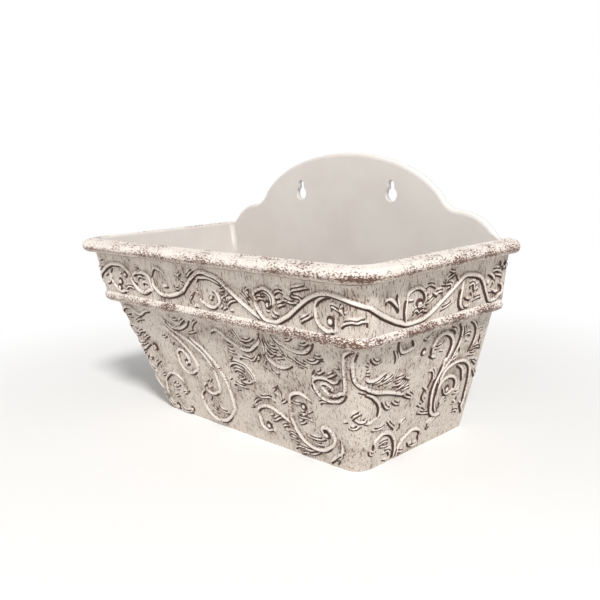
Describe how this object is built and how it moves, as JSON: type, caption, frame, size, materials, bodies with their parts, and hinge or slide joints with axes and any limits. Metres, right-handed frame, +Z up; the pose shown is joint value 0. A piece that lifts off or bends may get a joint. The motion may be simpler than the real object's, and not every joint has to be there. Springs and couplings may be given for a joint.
{
  "type": "wall planter",
  "caption": "Flared trough planter with a rolled rim, scrolled frieze and walls, and an arched back plate with two keyholes for hanging on a wall.",
  "frame": {"origin": "on the surface that the planter stands on, under the middle of its outline", "axes": "+Z up, +X along the front, and the planter faces -Y with its back plate at +Y"},
  "size_m": [0.31, 0.162, 0.203],
  "materials": {
    "antiqued_finish": "antiqued off-white, brown in the hollows",
    "smooth_lining": "plain grey-beige satin",
    "stopper": "matt"
  },
  "bodies": {
    "planter": {"back_plate": "smooth_lining", "band_moulding": "antiqued_finish", "relief_front_frieze": "antiqued_finish", "relief_front_panel": "antiqued_finish", "relief_left_frieze": "antiqued_finish", "relief_left_panel": "antiqued_finish", "relief_right_frieze": "antiqued_finish", "relief_right_panel": "antiqued_finish", "rim_moulding": "antiqued_finish", "trough_shell": "antiqued_finish"},
    "plug_left": {"drain_plug_left": "stopper"},
    "plug_right": {"drain_plug_right": "stopper"}
  },
  "joints": [
    {"name": "plug_left_lift", "type": "slide", "parent": "planter", "child": "plug_left", "axis": [0, 0, 1], "range_m": [0, 0.03]},
    {"name": "plug_right_lift", "type": "slide", "parent": "planter", "child": "plug_right", "axis": [0, 0, 1], "range_m": [0, 0.03]}
  ]
}
